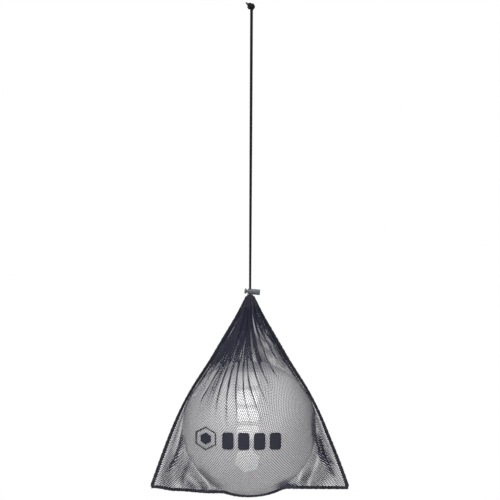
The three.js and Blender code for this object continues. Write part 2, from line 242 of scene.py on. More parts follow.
CORD_BLACK = node_material("cord_black", (0.0055, 0.0055, 0.006), 0.85, 0.5, 1400, 0.0002,
                           tint=(0.012, 0.012, 0.013), specular=0.07)
THREAD_NAVY = node_material("thread_navy", (0.009, 0.009, 0.019), 0.7, 0.4, 2600, 0.0001,
                            tint=(0.019, 0.019, 0.037), specular=0.2)
TAPE_BLACK = node_material("tape_black", (0.008, 0.008, 0.0125), 0.85, 0.6, 1500, 0.0002,
                           tint=(0.016, 0.0155, 0.022), specular=0.2)
LOCK_PLASTIC = node_material("lock_plastic", (0.038, 0.04, 0.052), 0.45, 0.15, 900, 0.0001,
                             tint=(0.048, 0.051, 0.064), specular=0.4)
SPRING_STEEL = node_material("spring_steel", (0.45, 0.45, 0.46), 0.3, 0.2, 1200, 0.00005,
                             tint=(0.55, 0.55, 0.56), metallic=1.0)
RUBBER_BLACK = node_material("rubber_black", (0.012, 0.012, 0.012), 0.7, 0.3, 600, 0.0001,
                             tint=(0.02, 0.02, 0.02))
HEM_NAVY = node_material("hem_navy", (0.008, 0.008, 0.014), 0.75, 0.4, 1900, 0.0002,
                         tint=(0.026, 0.025, 0.038), specular=0.2)
BALL_COVER = node_material("ball_cover_grain", (0.68, 0.68, 0.685), 0.5, 0.35, 700, 0.00025,
                           tint=(0.73, 0.73, 0.73), coat=0.05)
BALL_PRINT = node_material("ball_print_white", (0.93, 0.93, 0.93), 0.4, 0.3, 700, 0.0002,
                           tint=(0.96, 0.96, 0.96))
BAG_PRINT = node_material("bag_print_navy", (0.012, 0.012, 0.02), 0.6, 0.5, 900, 0.0002,
                          tint=(0.02, 0.02, 0.032), specular=0.12)

# ---- drawcord --------------------------------------------

BRAID_PITCH = 4.2 * MM      # one turn of a carrier round the strand
BRAID_CARRIERS = 8
BRAID_OUTER = 0.51          # the carriers' outside, as a share of the cord's diameter
BRAID_DEPTH = 0.352 * MM


def braid(path, along, diameter, sides=20):
    """Points and faces of a braided cord, which rises where its two sets of helical carriers lie."""
    first, second = normals_along(path)
    angle = np.arange(sides) / sides * TURN
    turn = TURN * along[:, None] / BRAID_PITCH
    right = np.abs(np.sin((angle[None] + turn) * BRAID_CARRIERS / 2))
    left = np.abs(np.sin((angle[None] - turn) * BRAID_CARRIERS / 2))
    radius = diameter * BRAID_OUTER - BRAID_DEPTH * (1 - np.maximum(right, left))
    out = np.cos(angle)[:, None] * first[:, None] + np.sin(angle)[:, None] * second[:, None]
    points = path[:, None] + radius[..., None] * out
    return points.reshape(-1, 3), ring_faces(len(path), sides)


def strand_points(side):
    """The two strands lie a little closer than in the CAD model, pressed against each other."""
    points = []
    for degrees, share in STRAND_TURN:
        angle = math.radians(degrees)
        z = STRAND_HIGH.z + (STRAND_LOW.z - STRAND_HIGH.z) * share
        points.append((side * PAIR_SEEN * math.cos(angle), side * PAIR_SEEN * math.sin(angle), z))
    return points


KNOT_CENTRE = np.array((-0.8, 0, -6.2)) * MM
KNOT_LOOP_R = 5.2 * MM
KNOT_STRAND_D = 2.6 * MM
KNOT_TURNS = 2.05
KNOT_START = math.radians(100)
FIRST_TURN_AXIS = np.array((-0.52, 0.10, 0.85))
SECOND_TURN_AXIS = np.array((0.66, 0.34, 0.67))
KNOT_STEP = 0.35 * MM


def knot_turn(turn):
    """Where the doubled cord is after some turns round the knot, and the axis that it turns on."""
    share = smoothstep(turn, 0.75, 1.35)
    axis = unit(FIRST_TURN_AXIS * (1 - share) + SECOND_TURN_AXIS * share)
    along = unit(np.cross(axis, (0, 1, 0)))
    angle = KNOT_START + TURN * turn
    out = along * math.cos(angle) + np.cross(axis, along) * math.sin(angle)
    widened = 0.62 + 0.38 * smoothstep(turn, 0, 0.35)
    tucked = 0.7 * MM * smoothstep(turn, 1.6, KNOT_TURNS)
    return out * (KNOT_LOOP_R * widened - tucked), axis


def knot_strand(side):
    """One strand of the doubled cord: up from below, twice round the knot, out to the upper left."""
    below = [(0.8 + side * 1.15, 0.0, -7.0), (0.8 + side * 1.15, 0.6, -5.6)]
    tail = [(-4.6, side - 0.4, 3.2), (side - 6.0, side * 1.1, 4.2 - side * 0.3),
            (side * 1.3 - 7.2, side * 0.9, 5.0 - side * 0.9)]
    turns = [middle + axis * side * KNOT_STRAND_D / 2
             for middle, axis in map(knot_turn, np.linspace(0, KNOT_TURNS, 33))]
    return KNOT_CENTRE + np.vstack([np.array(below) * MM, turns, np.array(tail) * MM])


def joined(shapes):
    """Several shapes' points and faces as those of one."""
    counts = np.cumsum([0] + [len(points) for points, _ in shapes])
    faces = [np.vstack([part + count for part, count in zip(kind, counts)])
             for kind in zip(*(faces for _, faces in shapes))]
    return np.vstack([points for points, _ in shapes]), faces


def make_knot():
    """Both strands wound tight round each other, over a packed core of the same cord."""
    runs = [(knot_strand(side), KNOT_STRAND_D) for side in (-1, 1)]
    for lift, slope, thickness in ((-1.6, 0.35, 4.8), (0.0, -0.35, 6.6), (1.6, 0.35, 4.8)):
        core = [(x, lift, x * slope) for x in (-4.0, -1.5, 1.5, 4.0)]
        runs.append((KNOT_CENTRE + np.array(core) * MM, thickness * MM))
    wedge = [(x, -0.3, -1.0 - 0.78 * x) for x in (-6.0, -4.5, -2.0, 0.0)]
    runs.append((KNOT_CENTRE + np.array(wedge) * MM, 4.6 * MM))
    shapes = [braid(*resample(points, KNOT_STEP), diameter, 16) for points, diameter in runs]
    return mesh_object("end_knot_tied", *joined(shapes))


def make_drawcord():
    knot = finish_piece(make_knot(), "knot", CORD_BLACK, ["end_knot"])
    for side, label in ((1, "a"), (-1, "b")):
        path, along = resample(strand_points(side), 0.4 * MM)
        strand = mesh_object(f"drawcord_strand_{label}", *braid(path, along, STRAND_D))
        finish_piece(strand, "drawcord", CORD_BLACK, [f"cord_strand_{label}"])


make_drawcord()

# ---- the bag's outline -----------------------------------

SHEET_R = BALL_R + 1.2 * MM
BALL_DROP = MOUTH_Z - BALL_CENTRE[2]
REACH = math.hypot(MOUTH_R, BALL_DROP)
CONE_ANGLE = math.asin(SHEET_R / REACH) - math.atan2(MOUTH_R, BALL_DROP)
CONE_SLOPE = math.tan(CONE_ANGLE)
TOUCH_DROP = math.sqrt(REACH ** 2 - SHEET_R ** 2) * math.cos(CONE_ANGLE)
MOUTH_INSET = 1.2 * MM
GATHER_INSET = 3.4 * MM     # further in, once the gathers are fully formed


def cone_radius(drop):
    return MOUTH_R + drop * CONE_SLOPE


def inset(drop):
    """How far the gathered mesh lies inside the cone that just touches the ball."""
    gathered = MOUTH_INSET + GATHER_INSET * smoothstep(drop, 0, 50 * MM)
    return gathered * (1 - smoothstep(drop, 95 * MM, 160 * MM))


def seam_half(drop, side=0):
    """Half of the bag's width: the cone down to the ball, then a curve out to the corner."""
    span = CORNER_DROP - TOUCH_DROP
    t = np.clip((drop - TOUCH_DROP) / span, 0, 1)
    start = cone_radius(TOUCH_DROP)
    curve = (start * (1 + 2 * t) * (1 - t) ** 2 + BASE_HALF * t * t * (3 - 2 * t)
             + CONE_SLOPE * span * t * (1 - t) ** 2 - CORNER_SLOPE * span * t * t * (1 - t))
    spread = (2.2 + 1.2 * side) * MM * smoothstep(drop, 215 * MM, 300 * MM)
    return np.where(drop <= TOUCH_DROP, cone_radius(drop), curve) - inset(drop) + spread


# how far the bottom seam hangs below the level of the right corner, from left to right
SEAM_SAG = [(-155, 0.0), (-120, 4.5), (-60, 8.0), (5, 8.0), (45, 0.0), (155, 0.0)]


def bottom_z(x):
    """The bottom seam: it hangs lower on the left than on the right, and bends under the ball."""
    x = np.asarray(x, float)
    sag = np.zeros_like(x)
    for (x0, d0), (x1, d1) in zip(SEAM_SAG, SEAM_SAG[1:]):
        sag += (d1 - d0) * MM * smoothstep(x, x0 * MM, x1 * MM)
    straight = MOUTH_Z - CORNER_DROP + 0.5 * MM - sag
    under = BALL_CENTRE[2] - np.sqrt(SHEET_R ** 2 - np.minimum(np.abs(x), SHEET_R * 0.999) ** 2)
    bend = 3 * MM
    share = np.clip(0.5 + (under - straight) / (2 * bend), 0, 1)
    return under + (straight - under) * share - bend * share * (1 - share)


# ---- cloth -----------------------------------------------

FLAT_WIDTH = 0.36
FLAT_HEIGHT = 0.38          # below the hem
COLUMNS = 181
ROWS = 141
PLEATS = 15
BROAD_FOLDS = 5             # bunches of pleats below the mouth
ROUNDS = 160
CLOTH_GAP = 0.9 * MM        # mesh to ball
LEAST_DEPTH = 0.4 * MM      # mesh to the bag's middle plane
WIND = 0.05 * MM
GRAVITY_STEP = 0.015 * MM
STIFF_DOWN = 0.05
STIFF_ACROSS = 0.012


def least_depth(x, z):
    """The least that the mesh stands out of the bag's middle plane: a cone, then the ball itself."""
    drop = MOUTH_Z - z
    ball = SHEET_R ** 2 - (z - BALL_CENTRE[2]) ** 2
    cone = np.where(drop < TOUCH_DROP, (cone_radius(drop) - inset(drop)) ** 2, 0)
    return np.sqrt(np.maximum(np.maximum(ball, cone) - x ** 2, 0))


def section(half, radius, share):
    """A taut section at one height, round the ball to a seam at each side, evenly spaced by length."""
    radius = min(max(radius, 1 * MM), half * 0.9995)
    touch = radius ** 2 / half
    angle = np.linspace(-math.asin(touch / radius), math.asin(touch / radius), 121)
    x = np.concatenate([[-half], radius * np.sin(angle), [half]])
    y = np.concatenate([[0], radius * np.cos(angle), [0]])
    along = run_along(np.stack([x, y], -1))
    return np.interp(share * along[-1], along, x), np.interp(share * along[-1], along, y)


LOWEST_DROP = CORNER_DROP + 20 * MM
TAUT_ROUNDS = 700
PULL_DOWN = 0.39            # the cloth is drawn tighter down the bag than across it


def taut_panel():
    """The panel drawn taut over the ball, without folds, and the length of each of its rows."""
    across = np.linspace(0, 1, COLUMNS)
    levels = np.linspace(HEM_DROP, LOWEST_DROP, 300)
    dense = np.zeros((len(levels), COLUMNS, 3))
    for i, drop in enumerate(levels):
        z = MOUTH_Z - drop
        half, left, right = (float(seam_half(drop, side)) for side in (0, -1, 1))
        x, y = section(half, float(least_depth(0, z)), across)
        x *= np.where(x > 0, right, left) / half
        dense[i] = np.stack([x, y, np.full(COLUMNS, z)], -1)
    grid = np.zeros((ROWS, COLUMNS, 3))
    for j in range(COLUMNS):
        line = dense[:, j]
        end = int(np.argmax(line[:, 2] < bottom_z(line[:, 0])))
        line = line[:max(end, 2)]
        line = np.vstack([line, [line[-1, 0], 0, float(bottom_z(line[-1, 0]))]])
        along = run_along(line)
        grid[:, j] = points_at(np.linspace(0, along[-1], ROWS), along, line)
    grid[-1, :, 1] = 0
    grid[:, (0, -1), 1] = 0
    x, z = grid[..., 0], grid[..., 2]
    least = least_depth(x, z)[1:-1, 1:-1]
    for _ in range(TAUT_ROUNDS):
        y = grid[..., 1]
        mean = (PULL_DOWN * (y[:-2, 1:-1] + y[2:, 1:-1])
                + (0.5 - PULL_DOWN) * (y[1:-1, :-2] + y[1:-1, 2:]))
        grid[1:-1, 1:-1, 1] = np.maximum(mean, least)
    lengths = np.linalg.norm(np.diff(grid, axis=1), axis=-1).sum(1)
    return grid, lengths


def pleat_count(across, seed):
    """How many pleats lie before each column. They are unevenly spaced."""
    rng = np.random.default_rng(seed)
    warp = sum(rng.uniform(-1, 1) / n * np.sin(math.pi * (n + 1) * across) for n in range(1, 8))
    return (TURN * PLEATS * across + 1.1 * warp) / TURN


def gathered_share(across, amount, crowds):
    """Where each column lies along a taut row, when the cloth crowds together in some places."""
    even = np.linspace(0, 1, 400)
    density = np.ones(400)
    for middle, width, strength in crowds:
        density = density * (1 + amount * strength * bump(even, middle, width))
    total = np.concatenate([[0], np.cumsum((density[1:] + density[:-1]) / 2)])
    return np.interp(across, total / total[-1], even)


FADE_MIDDLE, FADE_SPREAD = 0.45, 0.19      # where the pleats end, as a share of the way down
LEAST_HELD = 0.25           # the least share of a pleat that lasts on to the ball
MOST_OUT = 1.7 * MM         # what a pleat stands out on the ball


def broad_fold(across, seed, drop):
    """How far the pleats bunch inward near the mouth."""
    wave = 0.5 - 0.5 * np.cos(TURN * BROAD_FOLDS * across + 2 * np.sin(5 * across + seed))
    return wave * 0.26 * cone_radius(min(drop, 60 * MM)) * (1 - smoothstep(drop, 35 * MM, 95 * MM))


def with_pleats(grid, lengths, seed, crowds):
    """The taut panel with its spare width folded into pleats: inward above the ball, over it outward.

    Between two folds the cloth lies flat at its full width, so the mesh shows as open holes there.
    """
    rng = np.random.default_rng(seed + 50)
    across = np.linspace(0, 1, COLUMNS)
    count = pleat_count(across, seed)
    number = np.floor(count)
    part = count - number
    from_fold = np.minimum(part, 1 - part)
    nearest = np.clip(np.round(count).astype(int), 0, PLEATS + 1)
    ends = np.interp(across * PLEATS, np.arange(PLEATS + 1), rng.uniform(-1, 1, PLEATS + 1))
    fade = FADE_MIDDLE + FADE_SPREAD * ends
    tilt = rng.uniform(0.4, 1.0, PLEATS + 2) * np.sign(rng.uniform(-1, 1, PLEATS + 2))
    held = rng.uniform(LEAST_HELD, 1.0, PLEATS + 2) ** 1.5
    tilt, held = tilt[nearest], held[nearest]
    folded = grid.copy()
    for i, share in enumerate(np.linspace(0, 1, ROWS)):
        drop = MOUTH_Z - grid[i, COLUMNS // 2, 2]
        crowding = 1 - smoothstep(drop, 70 * MM, 240 * MM)
        place = gathered_share(across, crowding, crowds)
        flat_share = np.clip(lengths[i] * np.gradient(place, across) / FLAT_WIDTH, 0.1, 1)
        on_ball = smoothstep(drop, TOUCH_DROP - 62 * MM, TOUCH_DROP - 15 * MM)
        gone = on_ball * np.maximum(smoothstep(share, fade - 0.3, fade + 0.05), 1 - held)
        flat_share += (1 - flat_share) * gone
        shown = np.clip((part - (1 - flat_share) / 2) / flat_share, 0, 1)
        place = np.interp(np.interp(number + shown, count, across), across, place)
        folded[i] = points_at(place, across, grid[i])
        fold = np.maximum((1 - flat_share) / 2 - from_fold, 0) * FLAT_WIDTH / PLEATS
        inward = np.minimum(fold, 0.55 * float(cone_radius(min(drop, TOUCH_DROP)))) * (1 - on_ball)
        outward = np.minimum(fold, MOST_OUT) * on_ball
        push = 0.6 * outward - inward - broad_fold(across, seed, drop)
        push *= smoothstep(np.minimum(across, 1 - across), 0, 0.02)
        way = folded[i].copy()
        way[:, 2] = 0
        way /= np.maximum(np.linalg.norm(way, axis=1), 1e-6)[:, None]
        way[:, 2] = 0.35 * on_ball
        folded[i] += way * push[:, None]
        lean = tilt * (0.45 * inward + 0.8 * outward)
        folded[i, :, 0] += way[:, 1] * lean
        folded[i, :, 1] -= way[:, 0] * lean
    return folded


def pull(points, a, b, rest, stiffness, weight):
    """Moves both ends of every edge towards its rest length. a and b are slices of the grid."""
    pa, pb = points[a], points[b]
    edge = pb - pa
    length = np.linalg.norm(edge, axis=-1, keepdims=True)
    wa, wb = weight[a], weight[b]
    share = stiffness * (length - rest) / np.maximum(length, 1e-9) / np.maximum(wa + wb, 1e-9)
    points[a] = pa + edge * share * wa
    points[b] = pb - edge * share * wb


def every_other(first, count):
    """Every other point along a line, and the one after each."""
    last = first + (count - 1 - first) // 2 * 2
    return slice(first, last, 2), slice(first + 1, last + 1, 2)


def settle_cloth(start, taut, lengths, seed):
    """Position-based cloth: fixed along its seams and at the mouth, it hangs over the ball."""
    points = start.copy()
    weight = np.ones((ROWS, COLUMNS, 1))
    weight[0] = weight[-1] = 0
    weight[:, 0] = weight[:, -1] = 0
    down_rest = np.linalg.norm(np.diff(taut, axis=0), axis=-1, keepdims=True)
    share = np.linspace(0, 1, ROWS)[:, None, None]
    flat = FLAT_WIDTH / (COLUMNS - 1)
    row_rest = lengths[:, None, None] / (COLUMNS - 1)
    ease = smoothstep(share, 0.45, 0.9)
    across_rest = np.maximum(flat * (1 - ease) + row_rest * 1.01 * ease, row_rest)
    across_rest = across_rest * np.ones((1, COLUMNS - 1, 1))
    every = slice(None)
    wind = np.random.default_rng(seed + 7).normal(0, WIND, points.shape)
    points = points + wind * weight
    for _ in range(ROUNDS):
        points[..., 2] -= GRAVITY_STEP * weight[..., 0]
        for first in (0, 1):
            upper, lower = every_other(first, ROWS)
            pull(points, (upper, every), (lower, every), down_rest[upper], 0.9, weight)
        for first in (0, 1):
            left, right = every_other(first, COLUMNS)
            pull(points, (every, left), (every, right), across_rest[:, left], 0.8, weight)
        middle = (points[:-2] + points[2:]) / 2
        points[1:-1] += (middle - points[1:-1]) * STIFF_DOWN * weight[1:-1]
        middle = (points[:, :-2] + points[:, 2:]) / 2
        points[:, 1:-1] += (middle - points[:, 1:-1]) * STIFF_ACROSS * weight[:, 1:-1]
        out = points - BALL_CENTRE
        distance = np.linalg.norm(out, axis=-1, keepdims=True)
        least = BALL_R + CLOTH_GAP
        inside = (distance < least) & (weight > 0)
        points = np.where(inside, BALL_CENTRE + out / distance * least, points)
        in_front = np.maximum(points[..., 1], LEAST_DEPTH)
        points[..., 1] = np.where(weight[..., 0] > 0, in_front, points[..., 1])
    return points


# where the gathered cloth crowds together across each panel: middle, half-width and amount
FRONT_CROWDS = [(0.26, 0.08, 1.0), (0.47, 0.16, 0.9), (0.8, 0.13, -0.45)]
BACK_CROWDS = [(0.24, 0.1, 0.5), (0.5, 0.16, 1.0), (0.8, 0.13, -0.5)]

# creases in the slack cloth beside the ball: height, width, lean, how far they hide the holes,
# then points (x, z)
FRONT_CREASES = [
    (4.0, 2.6, -3.5, 0.9, [(-107, -706), (-111, -728), (-119, -745), (-130, -762)]),
    (3.0, 3.5, 0.0, 0.5, [(-96, -742), (-104, -768), (-110, -790)]),
    (4.0, 2.4, 3.0, 0.9, [(102, -660), (105, -700), (116, -738), (140, -776)]),
    (3.0, 2.6, 2.0, 0.6, [(112, -706), (124, -735), (140, -756)]),
    (1.5, 4.6, 0.0, 1.1, [(46, -786), (62, -782), (80, -788)]),
    (2.5, 3.6, 0.0, 0.45, [(-40, -790), (-60, -778), (-84, -754)]),
    (1.0, 7.0, 0.0, 0.4, [(-100, -776), (-84, -787), (-62, -795)]),
    (1.0, 6.0, 0.0, 0.3, [(84, -780), (94, -770), (104, -758)]),
]
BACK_CREASES = [
    (4.0, 2.6, 3.0, 0.8, [(112, -705), (122, -740), (138, -770)]),
    (4.0, 2.6, -3.0, 0.8, [(-106, -690), (-116, -735), (-134, -768)]),
]


def with_creases(grid, creases):
    """Adds sharp folds along given lines, and says how far they cover each place."""
    creased = grid.copy()
    cover = np.zeros(grid.shape[:2])
    x, z = grid[..., 0] / MM, grid[..., 2] / MM
    for height, width, lean, hide, line in creases:
        path, along = resample([(a, 0, b) for a, b in line], 1.5)
        away = np.hypot(x[..., None] - path[:, 0], z[..., None] - path[:, 2])
        nearest = away.argmin(-1)
        taper = np.sin(math.pi * np.clip(along[nearest] / along[-1], 0.02, 0.98)) ** 0.6
        rise = bump(away.min(-1), 0, width) * taper
        cover = np.maximum(cover, hide * rise)
        rise[0] = rise[-1] = rise[:, 0] = rise[:, -1] = 0
        way = unit(np.gradient(path, axis=0))
        creased[..., 1] += height * MM * rise
        creased[..., 0] -= lean * MM * rise * way[nearest, 2]
        creased[..., 2] += lean * MM * rise * way[nearest, 0]
    return creased, cover


def drape(seed, crowds, creases):
    """One panel's cloth, and how far its creases hide the holes."""
    taut, lengths = taut_panel()
    settled = settle_cloth(with_pleats(taut, lengths, seed, crowds), taut, lengths, seed)
    return with_creases(settled, creases)


# ---- knitted net -----------------------------------------

HOLE_PITCH = 3.6 * MM       # across the cloth
ROW_PITCH = 2.45 * MM       # down the cloth, each row set off by half a hole
THREAD_TIGHT = 0.86 * MM    # the threads between holes, where the mesh is stretched over the ball
THREAD_SLACK = 0.94 * MM
THREAD_GATHERED = 1.24 * MM
RIDGE = 0.28 * MM
PEAK = (HOLE_PITCH ** 2 / 4 + ROW_PITCH ** 2) / (2 * ROW_PITCH)     # a hole's top, above its middle
SHOULDER = ROW_PITCH - PEAK
WANDER = 1.1 * MM


def sample(grid, u, v):
    """Smooth positions on the cloth at shares u across and v down, with Catmull-Rom weights."""
    rows, columns = grid.shape[:2]

    def weights(t):
        return np.stack([-0.5 * t + t ** 2 - 0.5 * t ** 3, 1 - 2.5 * t ** 2 + 1.5 * t ** 3,
                         0.5 * t + 2 * t ** 2 - 1.5 * t ** 3, -0.5 * t ** 2 + 0.5 * t ** 3], 0)

    x = np.clip(u, 0, 1) * (columns - 1)
    y = np.clip(v, 0, 1) * (rows - 1)
    ix = np.minimum(x.astype(int), columns - 2)
    iy = np.minimum(y.astype(int), rows - 2)
    wx, wy = weights(x - ix), weights(y - iy)
    total = np.zeros((*u.shape, 3))
    for a in range(4):
        for b in range(4):
            total += (wy[a] * wx[b])[..., None] * grid[np.clip(iy + a - 1, 0, rows - 1),
                                                       np.clip(ix + b - 1, 0, columns - 1)]
    return total


def normals(grid, u, v):
    """The cloth's unit normals, away from the bag's middle plane."""
    step = 0.002
    across = sample(grid, u + step, v) - sample(grid, u - step, v)
    down = sample(grid, u, v + step) - sample(grid, u, v - step)
    normal = np.cross(across, down)
    normal /= np.maximum(np.linalg.norm(normal, axis=-1), 1e-12)[..., None]
    return -normal


def honeycomb(height):
    """The flat net: the holes' centres, a hole's corners, the ridge points and each hole's ridge."""
    corners = np.array([(0, PEAK), (HOLE_PITCH / 2, SHOULDER), (HOLE_PITCH / 2, -SHOULDER),
                        (0, -PEAK), (-HOLE_PITCH / 2, -SHOULDER), (-HOLE_PITCH / 2, SHOULDER)])
    across, down = int(FLAT_WIDTH / HOLE_PITCH), int(height / ROW_PITCH)
    j, i = np.meshgrid(np.arange(down), np.arange(-1, across + 1), indexing="ij")
    centre = np.stack([(i + 0.5 + 0.5 * (j % 2)) * HOLE_PITCH, (j + 0.5) * ROW_PITCH], -1)
    centre = centre.reshape(-1, 2)
    centre = centre[np.abs(centre[:, 0] - FLAT_WIDTH / 2) < FLAT_WIDTH / 2 + 0.1 * HOLE_PITCH]
    ridges = (centre[:, None] + corners[None]).reshape(-1, 2)
    keys = np.round(ridges / (0.05 * MM)).astype(int)
    _, first, index = np.unique(keys, axis=0, return_index=True, return_inverse=True)
    return centre, corners, ridges[first], index.reshape(-1, 6)


def hole_sizes(grid, centre, height, cover):
    """Each hole's size across and down, as a share of what its ridges enclose."""
    u, v = centre[:, 0] / FLAT_WIDTH, centre[:, 1] / height
    place = sample(grid, u, v)
    away = np.linalg.norm(place - BALL_CENTRE, axis=-1) - BALL_R
    below_cone = smoothstep(MOUTH_Z - place[:, 2], 106 * MM, 125 * MM)
    slack = THREAD_GATHERED + (THREAD_SLACK - THREAD_GATHERED) * below_cone
    thread = THREAD_TIGHT + (slack - THREAD_TIGHT) * smoothstep(away, 2 * MM, 14 * MM)
    half_u, half_v = HOLE_PITCH / FLAT_WIDTH / 2, ROW_PITCH / height / 2
    wide = np.linalg.norm(sample(grid, u + half_u, v) - sample(grid, u - half_u, v), axis=-1)
    high = np.linalg.norm(sample(grid, u, v + half_v) - sample(grid, u, v - half_v), axis=-1)
    wide, high = np.minimum(wide, HOLE_PITCH), np.minimum(high, ROW_PITCH)
    size = np.stack([1 - thread / wide, 1 - thread / (high * 2 * PEAK / ROW_PITCH)], -1)
    if cover is not None:
        size *= 1 - 0.85 * np.clip(sample(cover[..., None], u, v)[:, :1], 0, 1)
    return np.clip(size, 0.12, 0.88)


def wandered(u, v, side):
    """The knit's rows and columns aren't quite straight."""
    most = WANDER / FLAT_WIDTH * np.sin(math.pi * np.clip(u, 0, 1)) ** 0.5
    wave = TURN * (2.3 * u + 1.7 * v * side) + side
    return u + most * (np.sin(wave) + side * 0.8), v + most * np.sin(1.3 * wave + 2)


def net(name, grid, side, cover=None, height=FLAT_HEIGHT, closed=False):
    """The mesh itself: a honeycomb of threads, each a low ridge, round staggered holes.

    Where the cloth is a closed double layer, each hole has the inner layer as its floor.
    """
    centre, corners, ridge, ridge_index = honeycomb(height)
    size = hole_sizes(grid, centre, height, cover)
    hole = (centre[:, None] + corners[None] * size[:, None]).reshape(-1, 2)
    uv = np.vstack([ridge, hole, centre] if closed else [ridge, hole])
    u, v = uv[:, 0] / FLAT_WIDTH, uv[:, 1] / height
    lift = np.zeros(len(uv))
    lift[:len(ridge)] = RIDGE * (2 if closed else 1)
    lift[len(ridge) + len(hole):] = -RIDGE
    at_u, at_v = wandered(u, v, side)
    points = sample(grid, at_u, at_v) + normals(grid, at_u, at_v) * lift[:, None]
    points[:, 1] *= side
    hole_index = len(ridge) + np.arange(len(hole)).reshape(-1, 6)
    ridge_next, hole_next = np.roll(ridge_index, -1, 1), np.roll(hole_index, -1, 1)
    faces = [np.stack([ridge_index, ridge_next, hole_next, hole_index], -1).reshape(-1, 4)]
    if closed:
        floor = np.repeat(len(ridge) + len(hole) + np.arange(len(centre))[:, None], 6, 1)
        faces.append(np.stack([hole_index, hole_next, floor], -1).reshape(-1, 3))
    if side > 0:
        faces = [f[:, ::-1] for f in faces]
    obj = mesh_object(name, points, faces)
    layer = obj.data.uv_layers.new(name="OFBake")
    loop_vertex = np.zeros(len(obj.data.loops), np.int32)
    obj.data.loops.foreach_get("vertex_index", loop_vertex)
    shares = np.clip(np.stack([u, 1 - v], -1), 0, 1)
    layer.data.foreach_set("uv", shares[loop_vertex].astype(np.float32).ravel())
    obj["covered"] = float(np.sum(1 - size.prod(1)) * HOLE_PITCH * ROW_PITCH)
    return obj


FRONT_GRID, FRONT_COVER = drape(3, FRONT_CROWDS, FRONT_CREASES)
BACK_GRID, BACK_COVER = drape(8, BACK_CROWDS, BACK_CREASES)
front = net("front_mesh", FRONT_GRID, -1, FRONT_COVER)
back = net("back_mesh", BACK_GRID, 1, BACK_COVER)
finish_piece(front, "bag", THREAD_NAVY, ["front_panel"])
finish_piece(back, "bag", THREAD_NAVY, ["back_panel"])

# ---- gathered hem ----------------------------------------

RUFFLE = 1.5 * MM           # what the gathers stand up round the drawcord, above the hem
HEM_LEVELS = 14
HEM_CLEAR = 3.3 * MM        # the hem from the drawcord's axis
LINING_CLEAR = 2.8 * MM
HEM_FLAT_HEIGHT = 24.5 * MM


def clear_of_cord(rows, least):
    """Moves points that lie nearer to the drawcord's axis than the least radius out to it."""
    reach = np.hypot(rows[..., 0], rows[..., 1])[..., None]
    return rows * np.where([True, True, False], np.maximum(least / np.maximum(reach, 1e-6), 1), 1)


def hem_grid(grid):
    """The panel's pleats carried up to the mouth, with a ruffle that turns in round the drawcord."""
    edge = cone_radius(HEM_DROP) - inset(HEM_DROP)
    rows = []
    for drop in np.arange(HEM_LEVELS + 1) * HEM_DROP / HEM_LEVELS:
        row = grid[0] * (cone_radius(drop) - inset(drop)) / edge
        row[:, 2] = MOUTH_Z - drop
        rows.append(row)
    top = rows[0] * np.array((0.8, 0.8, 1)) + np.array((0, 0, RUFFLE))
    lip = rows[0] * np.array((0.5, 0.5, 1)) + np.array((0, 0, RUFFLE * 0.9))
    return clear_of_cord(np.array([lip, top] + rows), HEM_CLEAR)


def make_hem(label, grid, side):
    """The hem is a closed double layer: the mesh outside, with a plain layer close inside it."""
    rows = hem_grid(grid)
    outer = net(f"{label}_hem_gather", rows, side, height=HEM_FLAT_HEIGHT, closed=True)
    finish_piece(outer, "bag", HEM_NAVY, [f"{label}_hem"])
    inner = clear_of_cord(rows * np.array((0.93, 0.93, 1)), LINING_CLEAR)
    inner[..., 1] = np.maximum(inner[..., 1], 0.1 * MM) * side
    faces = grid_quads(len(rows), COLUMNS)[:, ::side]
    lining = mesh_object(f"{label}_hem_lining", inner.reshape(-1, 3), faces)
    finish_piece(lining, "bag", HEM_NAVY)


make_hem("front", FRONT_GRID, -1)
make_hem("back", BACK_GRID, 1)

# ---- bindings --------------------------------------------

TAPE_W = 5.2 * MM
TAPE_T = 2.0 * MM
TAPE_STEP = 0.5 * MM
STITCH_PITCH = 2.2 * MM
LUMPS = ((7.1, 0), (11.3, 1), (4.3, 2))     # each wave's length in mm, and where it starts


def overlocked(label, path, along, out, width):
    """An edge binding: a flat tape folded over the seam, ribbed by its overlock stitches."""
    sides = 18
    angle = np.arange(sides) / sides * TURN
    tangent = unit(np.gradient(path, axis=0))
    out = unit(out - tangent * np.sum(out * tangent, 1)[:, None])
    flat = np.cross(tangent, out)
    stitch = 0.5 + 0.5 * np.sin(TURN * along[:, None] / STITCH_PITCH + angle[None])
    lumps = sum(np.sin(TURN * along / (pitch * MM) + start) for pitch, start in LUMPS)
    swell = (0.9 + 0.2 * stitch + 0.05 * lumps[:, None]) * width[:, None]
    a = np.sign(np.cos(angle)) * np.abs(np.cos(angle)) ** 0.75 * TAPE_W / 2
    b = np.sin(angle) * TAPE_T / 2
    section_points = a[:, None] * out[:, None] + b[:, None] * flat[:, None]
    points = (path[:, None] + section_points * swell[..., None]).reshape(-1, 3)
    tape = mesh_object(f"{label}_binding_tape", points, ring_faces(len(path), sides))
    finish_piece(tape, "bag", TAPE_BLACK, [f"{label}_binding"])


def side_binding(label, side):
    """The tape down one side seam. It is drawn thin at the mouth, and the left one hangs lower."""
    drop = np.linspace(1.5 * MM, CORNER_DROP + (0 if side > 0 else 1.5 * MM), 80)
    half = seam_half(drop, side) + 2.5 * MM * smoothstep(drop, 10 * MM, 110 * MM)
    path = np.stack([side * half, np.zeros(80), MOUTH_Z - drop], -1)
    path, along = resample(path, TAPE_STEP)
    width = 0.45 + 0.6 * smoothstep(along, 8 * MM, 60 * MM) - 0.17 * bump(along, 195 * MM, 45 * MM)
    overlocked(label, path, along, (side, 0, 0), width)


